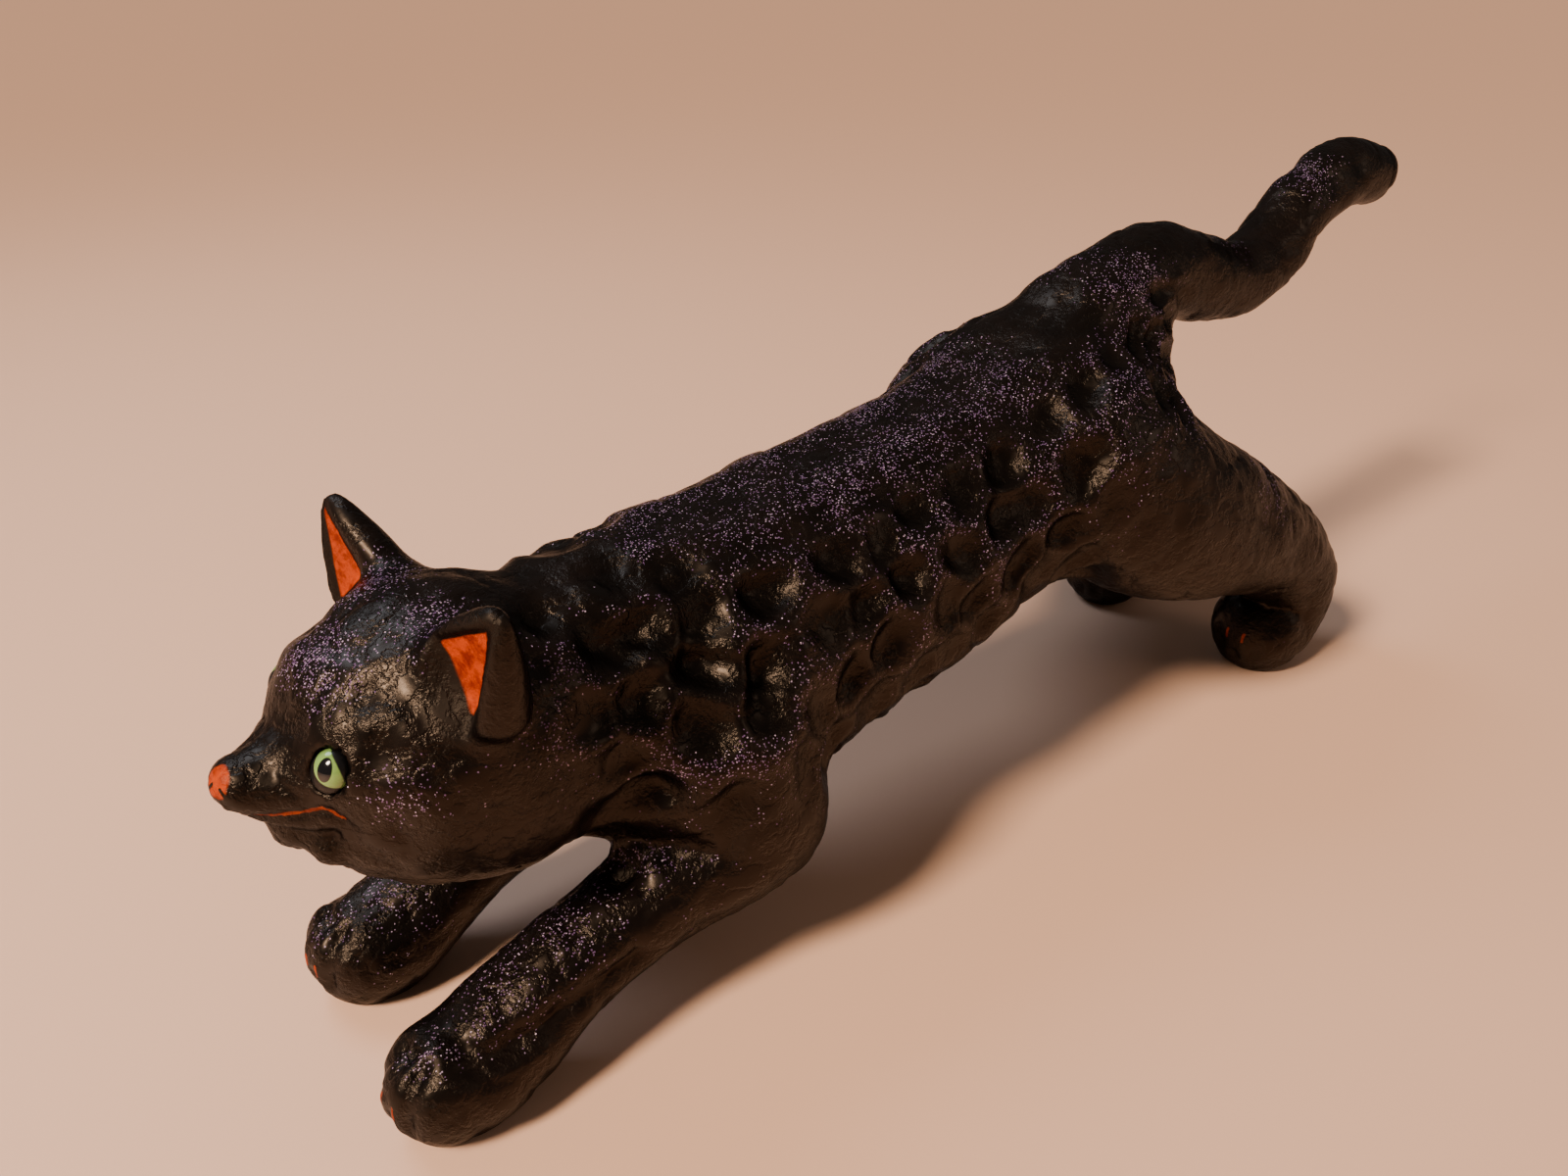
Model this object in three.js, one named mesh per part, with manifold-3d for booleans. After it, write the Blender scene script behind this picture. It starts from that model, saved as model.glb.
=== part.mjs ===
// A papier-mache cat stretched out to pounce: head low over the front paws, rump high,
// hind legs pushed back and the tail raised in an S. Millimetres, +Z up. The head points
// along -X and the cat's left side along -Y. The origin lies on the surface that the four
// paws stand on, under the middle of the cat's box.
//
// The paper body is one smooth distance field: limbs swept along a few stations, melted
// into each other, and hollowed with the maker's thumb dents. A net over a graded grid
// turns the field into one closed skin, and the ears, soles and eye sockets are then
// joined to it and cut from it.

import * as THREE from "three";
import { mergeVertices } from "three/addons/utils/BufferGeometryUtils.js";
import Module from "manifold-3d";

const wasm = await Module();
wasm.setup();

// Stance: how far each pair of paws stands out from the middle line, and how far the
// right front paw is held back.
const FRONT_STANCE = 29;
const HIND_STANCE = 38;
const RIGHT_PAW_BACK = 5;

// Limbs, as stations [x, y, z, radius] from the root of each limb to its end.
const TORSO = [
  [-185, 0, 90, 33],
  [-143, 0, 89, 41],
  [-95, 0, 87, 45],
  [-40, 0, 95, 44],
  [10, 0, 108, 41],
  [47, 0, 126, 36],
  [65, 0, 142, 26],
];
const TAIL = [
  [57, 0, 150, 22],
  [91, 0, 162, 18],
  [121, 0, 157, 15.5],
  [148, 0, 152, 14.5],
  [172, 0, 158.5, 14],
  [190, 0, 173, 13.5],
  [214, 0, 183.5, 14],
  [241, 0, 180, 12.5],
];
const FRONT_LEG = [
  [-123, 22, 72, 32],
  [-119, FRONT_STANCE, 49, 24],
  [-147, FRONT_STANCE, 38, 16.5],
  [-179, FRONT_STANCE, 28.5, 14.5],
  [-205, FRONT_STANCE, 15.5, 17],
  [-215, FRONT_STANCE, 14, 16.5],
];
const HIND_LEG = [
  [33, 20, 114, 36],
  [67, 33, 90, 32],
  [107, HIND_STANCE, 73, 26],
  [141, HIND_STANCE + 1, 54, 21],
  [159, HIND_STANCE + 1, 36, 19.5],
  [158, HIND_STANCE, 20, 18.5],
  [147, HIND_STANCE, 16, 18.5],
];

// Head, on its own axes: x rearwards, y to the cat's right, z up, from the middle of the
// skull. The whole head is wider than it is deep, and turned a little to the cat's left.
const HEAD_CENTRE = new THREE.Vector3(-191, 1, 92);
const HEAD_TURN = THREE.MathUtils.degToRad(-2.4);
const HEAD_WIDTH = 1.12;
const SKULL = [
  [12, 0, 1, 35],
  [-3, 0, 5.5, 36],
  [-12, 0, 3, 26],
];
const JAW = [
  [5, 0, -11, 28],
  [-12, 0, -9, 22],
  [-29, 0, -6, 10],
];
const MUZZLE = [
  [-18, 0, -2, 15.5],
  [-36, 0, 3, 10.5],
  [-47, 0, 6.5, 6.5],
];

// How widely neighbouring forms melt into each other, and how many straight links stand for
// the curve between one station and the next.
const MELT = { frontLeg: 12, hindLeg: 14, tail: 10, jaw: 8, muzzle: 9, head: 8 };
const LINKS_PER_STATION = 6;

// Thumb hollows: pressed in staggered rows along the flanks, each one strayed a little from
// its place and pressed between 0.6 and 1.2 times the depth. Rows are counted by the arc
// round the spine, so one pattern runs on over the shoulders and thighs. The top of the
// back and the belly stay smooth.
const HOLLOW = { pitch: 18, row: 17, radius: 12, depth: 3.4, stray: 0.4, faintest: 0.6, spread: 0.6 };
const SEED = { step: 7.13, row: 31.7, next: 0.37 };
const SCATTER = { turn: 12.9898, scale: 43758.5453 };
const ARC_RADIUS = 44;
const FLANK = { top: 24, full: 42, low: 125, bare: 150, front: -150, rear: 70, fade: 40 };
const FADE_ON_LIMBS = { from: 6, to: 20 };

// Ears: splayed pods with a leaf-shaped hollow, placed on the head's axes. The right ear
// is set a little lower and further forward than the left. A pod widens from its neck until
// it is full, and then tapers to a blunt tip.
const EAR = { width: 18, depth: 12, facing: new THREE.Vector3(-0.93, 0.33, 0.1), sides: 14, rings: 8 };
const EAR_OUTLINE = { neck: 0.45, full: 0.35, taper: 0.7, blunt: 0.1 };
const EAR_PLACE = {
  left: { base: new THREE.Vector3(-3, 26.5, 21), tip: new THREE.Vector3(-1, 46.5, 54) },
  right: { base: new THREE.Vector3(1, 27, 19), tip: new THREE.Vector3(-2.5, 45.5, 50) },
};
const EAR_HOLLOW = { width: 12, depth: 9, shift: 8, from: 0.12, to: 0.9, sides: 12, rings: 8 };
const LEAF = { skew: 0.7, fullness: 0.8 };

// Eyes: glossy domes sunk into sockets with a hairline gap all round, placed on the head's
// axes. The right eye sits a little further round the head than the left.
const EYE = { sink: 1.8, thick: 4, width: 4.8, height: 5.5, lean: 0.5, sides: 12, rings: 8 };
const EYE_PLACE = {
  left: new THREE.Vector3(-31, 18, 13),
  right: new THREE.Vector3(-25.5, 25.5, 12),
};
const SOCKET_GAP = 0.3;

// Grid: [x, cell size] stations, fine over the head and front paws, coarse over the tail.
const CELLS = [
  [-262, 6],
  [-165, 6],
  [-130, 7.7],
  [20, 7.7],
  [70, 9.9],
  [272, 9.9],
];
const REACH = { side: 76, below: -9, above: 210 };

// The share of a cell that a vertex may move to reach the surface, the step for measuring
// slopes, the distance at which vertices are welded, and the block cut off under the paws.
const SETTLE = 0.3;
const PROBE = 0.5;
const WELD = 1e-4;
const GROUND_DEPTH = 36;

function smoothstep(edge0, edge1, value) {
  const t = THREE.MathUtils.clamp((value - edge0) / (edge1 - edge0), 0, 1);
  return t * t * (3 - 2 * t);
}

// The lower of two distances, rounded off where they differ by less than the width.
function melt(a, b, width) {
  const share = THREE.MathUtils.clamp(0.5 + (0.5 * (b - a)) / width, 0, 1);
  return b + (a - b) * share - width * share * (1 - share);
}

// The distance to a limb: the nearest of the tapered links along its stations' spline.
function limb(stations) {
  const path = new THREE.CatmullRomCurve3(
    stations.map(([x, y, z]) => new THREE.Vector3(x, y, z)), false, "catmullrom");
  const girth = new THREE.CatmullRomCurve3(
    stations.map(([, , , radius]) => new THREE.Vector3(radius, 0, 0)), false, "catmullrom");
  const count = LINKS_PER_STATION * (stations.length - 1);
  const links = [];
  for (let i = 0; i < count; i++) {
    const start = path.getPoint(i / count);
    const span = path.getPoint((i + 1) / count).sub(start);
    const radius = girth.getPoint(i / count).x;
    const gain = girth.getPoint((i + 1) / count).x - radius;
    links.push({ start, span, squared: span.lengthSq(), radius, gain });
  }
  const offset = new THREE.Vector3();
  return (point) => {
    let nearest = Infinity;
    for (const link of links) {
      offset.copy(point).sub(link.start);
      const t = THREE.MathUtils.clamp(offset.dot(link.span) / link.squared, 0, 1);
      offset.addScaledVector(link.span, -t);
      nearest = Math.min(nearest, offset.length() - link.radius - link.gain * t);
    }
    return nearest;
  };
}

function leg(stations, side, pawBack = 0) {
  const last = stations.length - 1;
  return limb(stations.map(([x, y, z, radius], i) => [x + (pawBack * i) / last, side * y, z, radius]));
}

// A repeatable number from 0 to 1 for each whole number.
function scatter(n) {
  const value = Math.sin(n * SCATTER.turn) * SCATTER.scale;
  return value - Math.floor(value);
}

// The value at x of a list of stations, straight between one station and the next.
function along(stations, x, column) {
  const next = stations.findIndex((station) => station[0] > x);
  if (next === 0) return stations[0][column];
  if (next === -1) return stations.at(-1)[column];
  const [a, b] = [stations[next - 1], stations[next]];
  return THREE.MathUtils.mapLinear(x, a[0], b[0], a[column], b[column]);
}

// The depth of the thumb hollows at a place given by its distance along the body and
// the arc round it: the deepest of the nine hollows about it.
function hollowDepth(length, arc) {
  let deepest = 0;
  const nearRow = Math.round(arc / HOLLOW.row);
  for (let row = nearRow - 1; row <= nearRow + 1; row++) {
    const shift = Math.abs(row % 2) / 2;
    const nearStep = Math.round(length / HOLLOW.pitch - shift);
    for (let step = nearStep - 1; step <= nearStep + 1; step++) {
      const seed = step * SEED.step + row * SEED.row;
      const [strayAlong, strayAround, firmness] = [0, 1, 2].map((n) => scatter(seed + SEED.next * n));
      const u = length - HOLLOW.pitch * (step + shift + HOLLOW.stray * (strayAlong - 0.5));
      const v = arc - HOLLOW.row * (row + HOLLOW.stray * (strayAround - 0.5));
      const inside = Math.max(0, 1 - (u * u + v * v) / (HOLLOW.radius * HOLLOW.radius));
      const depth = HOLLOW.depth * (HOLLOW.faintest + HOLLOW.spread * firmness);
      deepest = Math.max(deepest, depth * inside * inside);
    }
  }
  return deepest;
}

// How far the flank's hollows sink the surface at a point: in full on the flanks, fading
// towards the back, the belly, both ends of the body, and the limbs that stand off it.
function flankHollows(point, torsoDistance) {
  const angle = Math.atan2(point.y, point.z - along(TORSO, point.x, 2));
  const degrees = THREE.MathUtils.radToDeg(Math.abs(angle));
  const weight = smoothstep(FLANK.top, FLANK.full, degrees)
    * smoothstep(FLANK.bare, FLANK.low, degrees)
    * smoothstep(FLANK.front - FLANK.fade, FLANK.front, point.x)
    * smoothstep(FLANK.rear + FLANK.fade, FLANK.rear, point.x)
    * smoothstep(FADE_ON_LIMBS.to, FADE_ON_LIMBS.from, torsoDistance);
  return weight > 0 ? weight * hollowDepth(point.x, angle * ARC_RADIUS) : 0;
}

const torso = limb(TORSO);
const tail = limb(TAIL);
const frontLegs = [leg(FRONT_LEG, -1), leg(FRONT_LEG, 1, RIGHT_PAW_BACK)];
const hindLegs = [leg(HIND_LEG, -1), leg(HIND_LEG, 1)];
const skull = limb(SKULL);
const jaw = limb(JAW);
const muzzle = limb(MUZZLE);
const upAxis = new THREE.Vector3(0, 0, 1);

function headDistance(point) {
  const local = point.clone().sub(HEAD_CENTRE).applyAxisAngle(upAxis, -HEAD_TURN);
  local.y /= HEAD_WIDTH;
  return melt(melt(skull(local), jaw(local), MELT.jaw), muzzle(local), MELT.muzzle);
}

// The paper body's field: below zero inside, and raised by each hollow.
function bodyDistance(point) {
  const torsoDistance = torso(point);
  let distance = torsoDistance;
  for (const frontLeg of frontLegs) distance = melt(distance, frontLeg(point), MELT.frontLeg);
  for (const hindLeg of hindLegs) distance = melt(distance, hindLeg(point), MELT.hindLeg);
  distance = melt(distance, tail(point), MELT.tail);
  distance = melt(distance, headDistance(point), MELT.head);
  return distance + flankHollows(point, torsoDistance);
}

// The direction in which a field rises fastest, and how fast, by small steps either way.
function slope(field, point) {
  const rise = ["x", "y", "z"].map((axis) => {
    const [before, after] = [point.clone(), point.clone()];
    before[axis] -= PROBE;
    after[axis] += PROBE;
    return (field(after) - field(before)) / (2 * PROBE);
  });
  return new THREE.Vector3(...rise);
}

// Draws a point of the net onto the field's surface, by no more than a given reach.
function settle(field, point, reach) {
  const rise = slope(field, point);
  const steepness = rise.length();
  const move = THREE.MathUtils.clamp(field(point) / steepness, -reach, reach);
  point.addScaledVector(rise, -move / steepness);
}

// The grid's slices across X, each with the size of its cells, so that the cells keep
// about the shape of a cube where they grow.
function gradedSlices() {
  const slices = [];
  let x = CELLS[0][0];
  while (x < CELLS.at(-1)[0]) {
    const cell = along(CELLS, x, 1);
    slices.push({ x, cell });
    x += cell;
  }
  return slices;
}

// Where the inside meets itself only across the diagonal of a grid face, its weaker corner
// there is left outside, so that no edge of the net is shared by more than two faces.
function untangle(values, size, indexOf) {
  const faces = [[[1, 0, 0], [0, 1, 0]], [[0, 1, 0], [0, 0, 1]], [[0, 0, 1], [1, 0, 0]]];
  let tangled = true;
  while (tangled) {
    tangled = false;
    for (const [u, v] of faces) {
      for (let i = 0; i < size[0] - u[0] - v[0]; i++) {
        for (let j = 0; j < size[1] - u[1] - v[1]; j++) {
          for (let k = 0; k < size[2] - u[2] - v[2]; k++) {
            const [a, b, c, d] = [[0, 0], [1, 0], [1, 1], [0, 1]].map(([s, t]) => indexOf(
              i + s * u[0] + t * v[0], j + s * u[1] + t * v[1], k + s * u[2] + t * v[2]));
            const [first, second] = [values[a] < 0, values[b] < 0];
            if (first === second || first !== values[c] < 0 || second !== values[d] < 0) continue;
            const [p, q] = first ? [a, c] : [b, d];
            const weaker = values[p] > values[q] ? p : q;
            values[weaker] = -values[weaker];
            tangled = true;
          }
        }
      }
    }
  }
}

// A surface net: one vertex in each grid cell that the surface passes through, at the mean
// of the cell's crossings, and one face for each grid edge that crosses the surface.
function surfaceNet(field) {
  const slices = gradedSlices();
  const finest = CELLS[0][1];
  const sideSteps = Math.ceil(REACH.side / finest);
  const lowStep = Math.floor(REACH.below / finest);
  const size = [slices.length, 2 * sideSteps + 1, Math.ceil(REACH.above / finest) - lowStep];
  const indexOf = (i, j, k) => (i * size[1] + j) * size[2] + k;
  const points = [];
  const values = [];
  for (const { x, cell } of slices) {
    for (let j = 0; j < size[1]; j++) {
      for (let k = 0; k < size[2]; k++) {
        const point = new THREE.Vector3(x, (j - sideSteps) * cell, (k + lowStep) * cell);
        points.push(point);
        values.push(field(point));
      }
    }
  }

  untangle(values, size, indexOf);
  const unit = [[1, 0, 0], [0, 1, 0], [0, 0, 1]];
  const vertices = [];
  const cellVertex = new Map();
  const crossing = new THREE.Vector3();
  for (let i = 0; i < size[0] - 1; i++) {
    for (let j = 0; j < size[1] - 1; j++) {
      for (let k = 0; k < size[2] - 1; k++) {
        const mean = new THREE.Vector3();
        let crossings = 0;
        for (let axis = 0; axis < 3; axis++) {
          const [u, v] = [unit[(axis + 1) % 3], unit[(axis + 2) % 3]];
          for (let corner = 0; corner < 4; corner++) {
            const [s, t] = [corner & 1, corner >> 1];
            const at = [0, 1, 2].map((n) => [i, j, k][n] + s * u[n] + t * v[n]);
            const a = indexOf(...at);
            const b = indexOf(...at.map((n, m) => n + unit[axis][m]));
            if (values[a] < 0 === values[b] < 0) continue;
            crossing.lerpVectors(points[a], points[b], values[a] / (values[a] - values[b]));
            mean.add(crossing);
            crossings += 1;
          }
        }
        if (crossings === 0) continue;
        mean.divideScalar(crossings);
        settle(field, mean, slices[i].cell * SETTLE);
        cellVertex.set(indexOf(i, j, k), vertices.length);
        vertices.push(mean);
      }
    }
  }

  const triangles = [];
  for (let axis = 0; axis < 3; axis++) {
    const [u, v] = [unit[(axis + 1) % 3], unit[(axis + 2) % 3]];
    for (let i = u[0] | v[0]; i < size[0] - 1; i++) {
      for (let j = u[1] | v[1]; j < size[1] - 1; j++) {
        for (let k = u[2] | v[2]; k < size[2] - 1; k++) {
          const inside = values[indexOf(i, j, k)] < 0;
          const beyond = indexOf(i + unit[axis][0], j + unit[axis][1], k + unit[axis][2]);
          if (inside === values[beyond] < 0) continue;
          const ring = [[1, 1], [0, 1], [0, 0], [1, 0]].map(([s, t]) => cellVertex.get(
            indexOf(i - s * u[0] - t * v[0], j - s * u[1] - t * v[1], k - s * u[2] - t * v[2])));
          if (!inside) ring.reverse();
          const [a, b, c, d] = ring;
          const acrossFirst = vertices[a].distanceTo(vertices[c]) < vertices[b].distanceTo(vertices[d]);
          if (acrossFirst) triangles.push(a, b, c, a, c, d);
          else triangles.push(a, b, d, b, c, d);
        }
      }
    }
  }
  const geometry = new THREE.BufferGeometry().setFromPoints(vertices);
  geometry.setIndex(triangles);
  return geometry;
}

// A closed pod along +Z: an ellipse whose size follows girth(u) from u = 0 at its foot to
// u = 1 at its tip.
function pod({ width, depth, sides, rings }, height, girth) {
  const geometry = new THREE.SphereGeometry(1, sides, rings);
  geometry.rotateX(Math.PI / 2);
  const place = geometry.getAttribute("position");
  for (let i = 0; i < place.count; i++) {
    const u = (1 + place.getZ(i)) / 2;
    const around = Math.atan2(place.getY(i), place.getX(i));
    const swell = u > 0 && u < 1 ? girth(u) : 0;
    place.setXYZ(i, width * swell * Math.cos(around), depth * swell * Math.sin(around), height * u);
  }
  return geometry;
}

function toSolid(geometry) {
  const bare = geometry.clone();
  bare.deleteAttribute("normal");
  bare.deleteAttribute("uv");
  const merged = mergeVertices(bare, WELD);
  return new wasm.Manifold(new wasm.Mesh({
    numProp: 3,
    vertProperties: new Float32Array(merged.getAttribute("position").array),
    triVerts: new Uint32Array(merged.getIndex().array),
  }));
}

function toGeometry(solid) {
  const mesh = solid.getMesh();
  const geometry = new THREE.BufferGeometry();
  geometry.setAttribute("position", new THREE.BufferAttribute(mesh.vertProperties, 3));
  geometry.setIndex(new THREE.BufferAttribute(mesh.triVerts, 1));
  geometry.computeVertexNormals();
  return geometry;
}

// A point or direction on the head's axes, for the cat's left (-1) or right (1) side.
function onHead(vector, side) {
  return new THREE.Vector3(vector.x, side * vector.y, vector.z).applyAxisAngle(upAxis, HEAD_TURN);
}

// One ear: a pod from the skull to the ear's tip, with a leaf-shaped hollow pushed in from
// the side that it faces.
function earSolid(side) {
  const place = side < 0 ? EAR_PLACE.left : EAR_PLACE.right;
  const foot = onHead(place.base, side).add(HEAD_CENTRE);
  const axis = onHead(place.tip, side).add(HEAD_CENTRE).sub(foot);
  const height = axis.length();
  axis.normalize();
  const facing = onHead(EAR.facing, side);
  facing.addScaledVector(axis, -facing.dot(axis)).normalize();
  const across = new THREE.Vector3().crossVectors(facing, axis);
  const frame = new THREE.Matrix4().makeBasis(across, facing, axis).setPosition(foot);

  const widening = (u) => THREE.MathUtils.lerp(EAR_OUTLINE.neck, 1, smoothstep(0, EAR_OUTLINE.full, u));
  const tapering = (u) => Math.pow(1 - u, EAR_OUTLINE.taper) + EAR_OUTLINE.blunt;
  const outer = pod(EAR, height, (u) => tapering(u) * widening(u));
  const span = EAR_HOLLOW.to - EAR_HOLLOW.from;
  const leaf = (u) => Math.pow(Math.sin(Math.PI * Math.pow(u, LEAF.skew)), LEAF.fullness);
  const hollow = pod(EAR_HOLLOW, height * span, leaf);
  hollow.translate(0, EAR_HOLLOW.shift, height * EAR_HOLLOW.from);
  outer.applyMatrix4(frame);
  hollow.applyMatrix4(frame);
  return toSolid(outer).subtract(toSolid(hollow));
}

// One eye's dome, grown by a margin for its socket. It looks straight out of the face.
function eyeGeometry(side, margin) {
  const centre = onHead(side < 0 ? EYE_PLACE.left : EYE_PLACE.right, side).add(HEAD_CENTRE);
  settle(bodyDistance, centre, EYE.height);
  const facing = slope(bodyDistance, centre).normalize();
  const across = new THREE.Vector3().crossVectors(upAxis, facing).normalize();
  const upright = new THREE.Vector3().crossVectors(facing, across);
  const geometry = new THREE.SphereGeometry(1, EYE.sides, EYE.rings);
  geometry.scale(EYE.thick + margin, EYE.width + margin, EYE.height + margin);
  geometry.rotateX(side * EYE.lean);
  centre.addScaledVector(facing, -EYE.sink);
  geometry.applyMatrix4(new THREE.Matrix4().makeBasis(facing, across, upright).setPosition(centre));
  return geometry;
}

function bodyGeometry() {
  let solid = toSolid(surfaceNet(bodyDistance));
  for (const side of [-1, 1]) {
    solid = solid.add(earSolid(side));
    solid = solid.subtract(toSolid(eyeGeometry(side, SOCKET_GAP)));
  }
  const length = CELLS.at(-1)[0] - CELLS[0][0];
  const ground = new THREE.BoxGeometry(length, 2 * REACH.side, GROUND_DEPTH);
  ground.translate(0, 0, -GROUND_DEPTH / 2);
  return toGeometry(solid.subtract(toSolid(ground)));
}

const blackPaper = new THREE.MeshStandardMaterial({ color: 0x17130f, roughness: 0.4, metalness: 0 });
const greenGlass = new THREE.MeshStandardMaterial({ color: 0x6f8f3c, roughness: 0.08, metalness: 0 });

const cat = new THREE.Group();
const body = new THREE.Mesh(bodyGeometry(), blackPaper);
body.name = "body";
cat.add(body);
for (const [name, side] of [["eye_left", -1], ["eye_right", 1]]) {
  const eye = new THREE.Mesh(eyeGeometry(side, 0), greenGlass);
  eye.name = name;
  cat.add(eye);
}

// The origin goes under the middle of the finished cat.
const box = new THREE.Box3().setFromObject(cat);
cat.position.x = -(box.min.x + box.max.x) / 2;

export default cat;
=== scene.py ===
"""A papier-mache cat stretched out to pounce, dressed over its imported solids. The shapes are in
millimetres, with the head towards -X, the cat's left side towards -Y and +Z up."""
import itertools
import math

import bpy
import numpy as np
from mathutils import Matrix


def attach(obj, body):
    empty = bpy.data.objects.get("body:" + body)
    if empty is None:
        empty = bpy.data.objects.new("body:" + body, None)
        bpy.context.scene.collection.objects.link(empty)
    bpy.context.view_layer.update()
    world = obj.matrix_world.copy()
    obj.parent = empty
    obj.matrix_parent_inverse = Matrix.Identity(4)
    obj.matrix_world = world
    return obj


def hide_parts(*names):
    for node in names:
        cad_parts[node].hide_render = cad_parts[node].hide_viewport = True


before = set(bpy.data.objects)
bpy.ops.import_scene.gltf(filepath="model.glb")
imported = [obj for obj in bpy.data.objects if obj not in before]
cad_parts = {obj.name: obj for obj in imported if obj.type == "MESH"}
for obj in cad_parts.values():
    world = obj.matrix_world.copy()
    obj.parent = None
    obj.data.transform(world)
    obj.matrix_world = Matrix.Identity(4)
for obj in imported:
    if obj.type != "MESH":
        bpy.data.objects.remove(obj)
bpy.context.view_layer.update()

# Paper body. Newspaper pasted in layers over a form and dried to a hard hollow shell, with the
# legs, tail and ears pasted on in one with it. Thumb hollows were pressed in while it was wet.
# It is worked out as one distance field, netted finely and then dented and creased.
TO_METRES = 0.001
FRAME_SHIFT = np.array([-4.3785, 0, 0])
FRONT_STANCE = 29
HIND_STANCE = 38
RIGHT_PAW_BACK = 5
TORSO = [
    (-185, 0, 90, 33), (-143, 0, 89, 41), (-95, 0, 87, 45), (-40, 0, 95, 44),
    (10, 0, 108, 41), (47, 0, 126, 36), (65, 0, 142, 26),
]
TAIL = [
    (57, 0, 150, 22), (91, 0, 162, 18), (121, 0, 157, 15.5), (148, 0, 152, 14.5),
    (172, 0, 158.5, 14), (190, 0, 173, 13.5), (214, 0, 183.5, 14), (241, 0, 180, 12.5),
]
FRONT_LEG = [
    (-123, 22, 72, 32), (-119, FRONT_STANCE, 49, 24), (-147, FRONT_STANCE, 38, 16.5),
    (-179, FRONT_STANCE, 28.5, 14.5), (-205, FRONT_STANCE, 15.5, 17), (-215, FRONT_STANCE, 14, 16.5),
]
HIND_LEG = [
    (33, 20, 114, 36), (67, 33, 90, 32), (107, HIND_STANCE, 73, 26), (141, HIND_STANCE + 1, 54, 21),
    (159, HIND_STANCE + 1, 36, 19.5), (158, HIND_STANCE, 20, 18.5), (147, HIND_STANCE, 16, 18.5),
]
HEAD_CENTRE = np.array([-191, 1, 92])
HEAD_TURN = math.radians(-2.4)
HEAD_WIDTH = 1.12
SKULL = [(12, 0, 1, 35), (-3, 0, 5.5, 36), (-12, 0, 3, 26)]
JAW = [(5, 0, -11, 28), (-12, 0, -9, 22), (-29, 0, -6, 10)]
MUZZLE = [(-18, 0, -2, 15.5), (-36, 0, 3, 10.5), (-47, 0, 6.5, 6.5)]
MELT = {
    "front_leg": 12, "hind_leg": 14, "tail": 10, "jaw": 8, "muzzle": 9, "head": 8, "ear": 6, "ear_rim": 2,
}
FAR_AWAY = 60
head_axes = np.array([
    [math.cos(HEAD_TURN), -math.sin(HEAD_TURN), 0],
    [math.sin(HEAD_TURN), math.cos(HEAD_TURN), 0],
    [0, 0, 1],
])


def smoothstep(edge0, edge1, value):
    """0 before the first edge, 1 past the second, and 3t^2 - 2t^3 between them."""
    t = np.clip((value - edge0) / (edge1 - edge0), 0, 1)
    return t * t * (3 - 2 * t)


def melt(a, b, width):
    """The lower of two distances, rounded off where they differ by less than the width."""
    share = np.clip(0.5 + 0.5 * (b - a) / width, 0, 1)
    return b + (a - b) * share - width * share * (1 - share)


def spline(stations, links=6):
    """A Catmull-Rom curve through the stations, with so many links to a span: each span is the cubic
    that passes a station in the direction from the station before it to the one after it."""
    rows = np.array(stations, dtype=float)
    rows = np.vstack([2 * rows[0] - rows[1], rows, 2 * rows[-1] - rows[-2]])
    t = np.arange(links)[:, None] / links
    spans = []
    for before, start, end, after in zip(rows, rows[1:], rows[2:], rows[3:]):
        bend = 2 * before - 5 * start + 4 * end - after
        twist = 3 * (start - end) + after - before
        spans.append(start + 0.5 * t * (end - before + t * (bend + t * twist)))
    return np.vstack(spans + [rows[-2]])


def limb(points, stations):
    """The distance to a limb: to the nearest of the tapered links along its curve, less the radius
    there. Points that are far from the whole limb only get a large distance."""
    curve = spline(stations)
    reach = curve[:, 3].max() + FAR_AWAY
    near = np.all((points > curve[:, :3].min(0) - reach) & (points < curve[:, :3].max(0) + reach), axis=1)
    close = points[near]
    nearest = np.full(len(close), np.inf)
    for start, end in zip(curve, curve[1:]):
        span = end - start
        offset = close - start[:3]
        t = np.clip(offset @ span[:3] / (span[:3] @ span[:3]), 0, 1)
        gap = np.linalg.norm(offset - t[:, None] * span[:3], axis=1)
        nearest = np.minimum(nearest, gap - start[3] - t * span[3])
    distance = np.full(len(points), float(FAR_AWAY))
    distance[near] = nearest
    return distance


def leg(points, stations, side, paw_back=0):
    """A leg's distance on one side of the cat, with its paw held back by an even drift along it."""
    rows = np.array(stations, dtype=float)
    rows[:, 0] += np.linspace(0, paw_back, len(rows))
    rows[:, 1] *= side
    return limb(points, rows)


def head(points):
    """The skull, jaw and muzzle melted together on the head's own axes, widened sideways."""
    local = (points - HEAD_CENTRE) @ head_axes / np.array([1, HEAD_WIDTH, 1])
    skull = melt(limb(local, SKULL), limb(local, JAW), MELT["jaw"])
    return melt(skull, limb(local, MUZZLE), MELT["muzzle"])


def bare_body(points):
    """The cat without ears or eye sockets: torso, legs, tail and head melted together in turn."""
    distance = limb(points, TORSO)
    distance = melt(distance, leg(points, FRONT_LEG, -1), MELT["front_leg"])
    distance = melt(distance, leg(points, FRONT_LEG, 1, RIGHT_PAW_BACK), MELT["front_leg"])
    for side in (-1, 1):
        distance = melt(distance, leg(points, HIND_LEG, side), MELT["hind_leg"])
    distance = melt(distance, limb(points, TAIL), MELT["tail"])
    return melt(distance, head(points), MELT["head"])


def slope(field, points, step=0.5):
    """The direction in which a field rises, and how steeply, by small steps either way."""
    rises = [field(points + shift) - field(points - shift) for shift in step * np.eye(3)]
    return np.stack(rises, axis=1) / (2 * step)


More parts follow.
